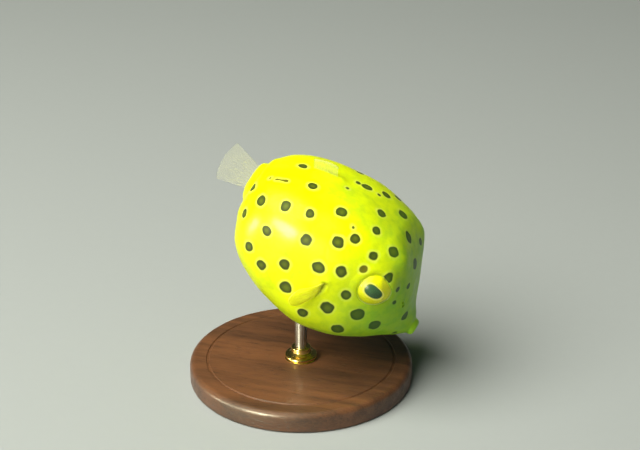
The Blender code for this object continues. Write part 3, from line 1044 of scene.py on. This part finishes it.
class MakeEyes(bpy.types.Operator):
    """Makes each eye: the iris with its pupil, the clear cornea, and the fleshy rim round it"""

    bl_idname = "boxfish.make_eyes"
    bl_label = "Eyes"

    def execute(self, context):
        settings = context.scene.boxfish_eyes
        iris = iris_material(settings)
        cornea = cornea_material()
        skin = bpy.data.materials["wet_boxfish_skin"]
        for side, name in ((1, "left"), (-1, "right")):
            self.make_ball(settings, name, side, iris)
            self.make_cornea(settings, name, side, cornea)
            self.make_lid(settings, name, side, skin)
        return {"FINISHED"}

    def spots_at(self, points):
        """Distance outside the edges of the skin's spots, which run on over the eye's rim."""
        skin = bpy.data.objects["skin"]
        places = np.array(skin["spot_places"]).reshape(-1, 3)
        return spot_edges(points, places, np.array(skin["spot_radii"]))

    def make_ball(self, settings, name, side, material):
        """Makes the eyeball, with the iris and the pupil on its front."""
        add_ball = bpy.ops.mesh.primitive_uv_sphere_add
        ball = new_piece("eyeball_" + name, add_ball, segments=144, ring_count=110, radius=1.0)
        radius = settings.radius / MM - IRIS_GAP
        local = read_points(ball) * (-side, 1, 1) * radius
        across, high, out = local.T
        front = out > 0

        # The pupil is a squared oval that tapers to the front.
        long, short = settings.pupil_length / 2 / MM, settings.pupil_height / 2 / MM
        fore = (cos(PUPIL_DIP) * across - sin(PUPIL_DIP) * high) / long
        over = (sin(PUPIL_DIP) * across + cos(PUPIL_DIP) * high) / short
        over /= 1 - PUPIL_TAPER * np.clip(fore, -1, 1)
        oval = np.abs(fore) ** PUPIL_SQUARENESS + np.abs(over) ** PUPIL_SQUARENESS
        edge = (oval ** (1 / PUPIL_SQUARENESS) - 1) * (long + short) / 2
        edge = np.where(front, edge, FAR)

        # It lies sunk in the iris, bulges as its lens does, and has a raised collar round it.
        collar = bell(edge - 0.1, 0.08) * front
        raised = LENS_BULGE * np.clip(-edge, 0, 1) + COLLAR_HEIGHT * collar
        raised -= PUPIL_DEPTH * smooth_step(edge, 0.25, 0.0)
        axes = eye_axes(side)
        facing = unit(ORBIT_FACING) * (1, side, 1)
        points = local @ axes
        height = points @ facing
        points += np.outer(flattened(height, radius) - height, facing)
        points += EYE_PLACE * (1, side, 1) + np.outer(raised, axes[2])
        write_points(ball, to_stage(points))

        turn = np.arctan2(high, across)
        reach = np.hypot(across, high)
        write_attributes(
            ball,
            spot_edge=self.spots_at(points),
            pupil_edge=edge,
            collar=collar,
            # Where the iris's front side gets painted olive shade.
            fore=smooth_step(0.88 * across + 0.48 * high, 0.72, 1.0) * front,
            streak=np.stack([7 * np.cos(turn), 7 * np.sin(turn), 0.8 * reach], 1),
        )
        finish_piece(ball, material, "eye", "eye_" + name)

    def make_cornea(self, settings, name, side, material):
        """Makes the clear dome over the iris, cut from a ball."""
        add_ball = bpy.ops.mesh.primitive_uv_sphere_add
        dome = new_piece("cornea_" + name, add_ball, segments=96, ring_count=72, radius=1.0)
        bpy.ops.object.mode_set(mode="EDIT")
        bpy.ops.mesh.select_all(action="SELECT")
        bpy.ops.mesh.bisect(plane_co=(0, 0, 0.3), plane_no=(0, 0, 1), clear_inner=True)
        bpy.ops.object.mode_set(mode="OBJECT")
        local = read_points(dome) * (-side, 1, 1) * (settings.radius / MM)
        write_points(dome, to_stage(EYE_PLACE * (1, side, 1) + local @ eye_axes(side)))
        finish_piece(dome, material, "eye")

    def make_lid(self, settings, name, side, material):
        """Makes the fleshy rim round the eye's opening from a ring."""
        ring_width = 0.25
        lid = new_piece(
            "lid_" + name,
            bpy.ops.mesh.primitive_torus_add,
            major_segments=192,
            minor_segments=16,
            major_radius=1.0,
            minor_radius=ring_width,
        )
        x, y, z = read_points(lid).T
        turn = np.arctan2(y, x)
        outward, rise = (np.hypot(x, y) - 1) / ring_width, z / ring_width
        facing, upward, forward = orbit_axes()
        around = np.outer(np.cos(turn), forward) + np.outer(np.sin(turn), upward)
        thick = settings.lid / MM
        radius = settings.radius / MM + 0.6 * thick
        rim = rim_reach(turn)
        height = flattened(np.sqrt(radius**2 - rim**2), radius)
        points = EYE_PLACE + around * (rim + thick * outward)[:, None]
        points += np.outer(height + thick * rise, facing)
        points *= (1, side, 1)
        write_points(lid, to_stage(points))
        write_attributes(
            lid,
            spot_edge=self.spots_at(points),
            # Painted green shade, as on the skin.
            tint=snout_tint(points),
            # Painted highlight on the front and lower side of the rim.
            pale=0.4 * np.clip(np.cos(turn + 0.9), 0, 1),
        )
        mend_normals(lid)
        finish_piece(lid, material, "skin")


# ---------------------------------------------------------------- the fins


def fan_points(u, v, fin, side, cup, wave):
    """Points of a fin's middle sheet: u runs from its first to its last ray, v out along them."""
    root, tips, roundness = fin
    root, tips = np.array(root) * (1, side, 1), np.array(tips) * (1, side, 1)
    first, last = tips - root
    normal = unit(np.cross(first, root[1] - root[0]))
    ray = first + np.outer(u, last - first)
    base = root[0] + np.outer(u, root[1] - root[0])
    reach = 1 + roundness * 4 * u * (1 - u)
    bow = wave - side * cup * np.sin(pi * v) * (0.6 + 1.6 * u * (1 - u))
    return base + ray * (reach * v)[:, None] + np.outer(bow, normal)


def ray_strength(u, v, rays):
    """How much of a ray lies at each place: single near the root, forked and fainter outwards."""
    turn = u * (rays - 1)
    offset = np.abs(turn - np.rint(turn))
    fork = 0.17 * smooth_step(v, 0.45, 0.9)
    branch = bell(offset - fork, 0.17 - 0.03 * v)
    return branch * (1 - 0.7 * smooth_step(v, 0.25, 0.85)) * smooth_step(v, 1.02, 0.9)


class MakeFins(bpy.types.Operator):
    """Makes the pectoral fins and the clear back, anal and tail fins, with forked rays"""

    bl_idname = "boxfish.make_fins"
    bl_label = "Fins"

    def execute(self, context):
        settings = context.scene.boxfish_fins
        tones = (settings.pectoral, settings.pectoral_ray, settings.margin)
        yellow = membrane_material("pectoral_fin_skin", *tones, 0.94, 1.0, 0.6)
        tones = (settings.clear, settings.clear_ray, settings.margin)
        clear = membrane_material("clear_fin_skin", *tones, 0.08, 0.16, 0.0)
        self.make_fin(settings, "fin_pectoral_left", PECTORAL, 9, yellow, 1, cup=0.45)
        self.make_fin(settings, "fin_pectoral_right", PECTORAL, 9, yellow, -1, cup=0.45)
        # The back fin gets painted shade along its outer edge.
        self.make_fin(settings, "fin_dorsal", DORSAL, 9, clear, margin=0.25)
        self.make_fin(settings, "fin_anal", ANAL, 9, clear)
        self.make_fin(settings, "fin_tail", TAIL, 10, clear)
        return {"FINISHED"}

    def make_fin(self, settings, node, fin, rays, material, side=1, cup=0.0, margin=0.0):
        """Makes one fin, a sheet that is thicker along its rays and thinner at its edge."""
        piece = new_piece(
            node + "_membrane",
            bpy.ops.mesh.primitive_grid_add,
            x_subdivisions=(rays - 1) * COLUMNS_PER_RAY,
            y_subdivisions=FIN_ROWS,
            size=2.0,
        )
        u, v, _ = (read_points(piece).T + 1) / 2
        strength = ray_strength(u, v, rays)
        wave = 0.03 * np.sin(u * 9 + 1.0) * v
        out = v * (1 - 0.03 * (1 - strength))  # the edge stands back between the rays
        write_points(piece, to_stage(fan_points(u, out, fin, side, cup, wave)))
        write_attributes(piece, ray=strength, margin=margin * smooth_step(v, 0.8, 0.92))

        group = piece.vertex_groups.new(name="thickness")
        thin = settings.membrane / settings.ray
        weights = (thin + (1 - thin) * strength) * (1 - 0.35 * v)
        for index, weight in enumerate(weights):
            group.add([index], float(weight), "REPLACE")
        solid = piece.modifiers.new("thickness", "SOLIDIFY")
        solid.thickness = settings.ray
        solid.offset = 0.0
        solid.vertex_group = group.name
        solid.thickness_vertex_group = 0.0
        select_only(piece)
        bpy.ops.object.modifier_apply(modifier=solid.name)
        piece.vertex_groups.clear()
        mend_normals(piece)
        finish_piece(piece, material, "fin", node)


# ---------------------------------------------------------------- the stand


SHARP_CORNER = radians(35)


def reach_and_top(box):
    """How far a node's box reaches sideways, and its top, in millimetres."""
    high = box[1]
    return high[0] / MM, high[2] / MM


def turned(name, profile, sides):
    """A solid turned round the upright axis, extruded step by step up its heights and radii."""
    height, radius = profile[0]
    piece = new_piece(
        name,
        bpy.ops.mesh.primitive_circle_add,
        vertices=sides,
        radius=radius * MM,
        fill_type="NGON",
        location=(0, 0, height * MM),
    )
    bpy.ops.object.mode_set(mode="EDIT")
    bpy.ops.mesh.select_all(action="SELECT")
    for next_height, next_radius in profile[1:]:
        bpy.ops.mesh.extrude_region_move(
            TRANSFORM_OT_translate={"value": (0, 0, (next_height - height) * MM)}
        )
        grow = next_radius / radius
        bpy.ops.transform.resize(
            value=(grow, grow, 1), center_override=(0, 0, next_height * MM)
        )
        height, radius = next_height, next_radius
    bpy.ops.object.mode_set(mode="OBJECT")
    mend_normals(piece)
    return piece


def rounded(centre_height, centre_radius, radius, start, end, steps):
    """Profile points round a corner, between two angles in degrees."""
    angles = np.radians(np.linspace(start, end, steps + 1))
    return [
        (centre_height + radius * float(np.sin(a)), centre_radius + radius * float(np.cos(a)))
        for a in angles
    ]


class MakeStand(bpy.types.Operator):
    """Makes the turned walnut base, the brass collar and the steel rod"""

    bl_idname = "boxfish.make_stand"
    bl_label = "Stand"

    def execute(self, context):
        settings = context.scene.boxfish_stand
        width, top = reach_and_top(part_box("stand_base"))
        reach, crown = reach_and_top(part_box("stand_collar"))
        rod, end = reach_and_top(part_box("stand_rod"))
        soft = settings.edge_round / MM
        foot = 0.35  # rounding of the lower edge
        groove = top - 0.12  # floor of the turned groove near the upper edge
        base = turned(
            "base_disc",
            [(0.0, width - foot)]
            + rounded(foot, width - foot, foot, -90, 0, 4)[1:]
            + rounded(top - soft, width - soft, soft, 0, 90, 8)
            + [(top, width - 1.9), (groove, width - 2.0), (groove, width - 2.2)]
            + [(top, width - 2.3), (top, 3.0), (top, 1.0)],
            192,
        )
        collar = turned(
            "collar_ring",
            [(top - 0.02, reach - 0.12), (top + 0.02, reach - 0.02)]
            + rounded(top + 0.34, reach - 0.26, 0.26, -60, 75, 8)
            + [(top + 0.62, reach - 0.42), (top + 0.66, reach - 0.52)]
            + [(top + 0.9, rod + 0.42), (crown - 0.32, rod + 0.36)]
            + rounded(crown - 0.16, rod + 0.3, 0.16, -50, 80, 6)
            + [(crown, rod + 0.1), (crown - 0.05, rod + 0.02)],
            96,
        )
        steel_rod = turned(
            "rod",
            [(top - 1.0, rod - 0.05), (top - 0.95, rod), (end - 0.1, rod), (end, rod - 0.1)],
            64,
        )
        wood = walnut_material(settings)
        brass = metal_material("turned_brass", settings.brass, 0.16, 0.3, (0.6, 0.6, 14.0))
        steel = metal_material("drawn_steel", settings.steel, 0.2, 0.34, (6.0, 6.0, 0.15))
        for piece, material, slot, node in (
            (base, wood, "stand_wood", "stand_base"),
            (collar, brass, "stand_brass", "stand_collar"),
            (steel_rod, steel, "stand_steel", "stand_rod"),
        ):
            finish_piece(piece, material, slot, node)
            select_only(piece)
            bpy.ops.object.shade_smooth_by_angle(angle=SHARP_CORNER)
        return {"FINISHED"}


# ---------------------------------------------------------------- the stage


class MakeStage(bpy.types.Operator):
    """Makes the pale floor, the soft studio light and the camera"""

    bl_idname = "boxfish.make_stage"
    bl_label = "Stage"

    def execute(self, context):
        settings = context.scene.boxfish_stage
        floor = new_piece("floor", bpy.ops.mesh.primitive_plane_add, size=settings.floor_width)
        floor.data.materials.append(paper_material(settings.floor))

        world = bpy.data.worlds.new("air")
        world.use_nodes = True
        background = world.node_tree.nodes["Background"]
        background.inputs["Color"].default_value = (*settings.air, 1.0)
        background.inputs["Strength"].default_value = AIR_STRENGTH
        context.scene.world = world
        context.scene.view_settings.view_transform = "Standard"

        middle = Vector((BODY_AHEAD * MM, 0, BODY_LEVEL * MM))
        for name, (way, distance, width, power, shades) in LAMPS.items():
            place = middle + Vector(way).normalized() * distance
            bpy.ops.object.light_add(type="AREA", location=place)
            lamp = context.object
            lamp.name = name
            lamp.rotation_euler = (place - middle).to_track_quat("Z", "Y").to_euler()
            lamp.data.shape = "DISK"
            lamp.data.size = width
            lamp.data.energy = power
            lamp.data.color = SHADING_LIGHT if shades else GLOSS_LIGHT
            lamp.visible_diffuse = shades
            lamp.visible_glossy = not shades

        turn, rise = settings.azimuth, settings.elevation
        right = Vector((cos(turn), sin(turn), 0))
        back = Vector((sin(turn) * cos(rise), -cos(turn) * cos(rise), sin(rise)))
        up = back.cross(right)
        eye = middle + right * settings.aim_across + up * settings.aim_above
        eye += back * settings.distance
        view = Matrix((right, up, back)).transposed().to_4x4()
        view.translation = eye
        bpy.ops.object.camera_add()
        camera = context.object
        camera.name = "camera"
        camera.data.lens = settings.lens
        camera.data.clip_start = 0.01
        camera.data.clip_end = 10
        camera.matrix_world = view
        context.scene.camera = camera
        return {"FINISHED"}


# ---------------------------------------------------------------- sidebar and run


class BoxfishPanel(bpy.types.Panel):
    """The model's sizes, colours and pieces in the sidebar"""

    bl_idname = "VIEW3D_PT_boxfish"
    bl_label = "Juvenile boxfish"
    bl_space_type = "VIEW_3D"
    bl_region_type = "UI"
    bl_category = "Boxfish"

    def draw(self, context):
        for group, kind in SETTINGS.items():
            box = self.layout.box()
            for name in kind.__annotations__:
                box.prop(getattr(context.scene, group), name)
        for operator in PIECES:
            self.layout.operator(operator.bl_idname)


SETTINGS = {
    "boxfish_skin": SkinSettings,
    "boxfish_eyes": EyeSettings,
    "boxfish_fins": FinSettings,
    "boxfish_stand": StandSettings,
    "boxfish_stage": StageSettings,
}
PIECES = (MakeSkin, MakeEyes, MakeFins, MakeStand, MakeStage)


def register():
    for kind in (*SETTINGS.values(), *PIECES, BoxfishPanel):
        bpy.utils.register_class(kind)
    for name, kind in SETTINGS.items():
        setattr(bpy.types.Scene, name, bpy.props.PointerProperty(type=kind))


def unregister():
    for name in SETTINGS:
        delattr(bpy.types.Scene, name)
    for kind in reversed((*SETTINGS.values(), *PIECES, BoxfishPanel)):
        bpy.utils.unregister_class(kind)


def main():
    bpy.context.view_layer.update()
    register()
    bpy.ops.boxfish.make_skin()
    bpy.ops.boxfish.make_eyes()
    bpy.ops.boxfish.make_fins()
    bpy.ops.boxfish.make_stand()
    bpy.ops.boxfish.make_stage()


if __name__ == "__main__":
    main()
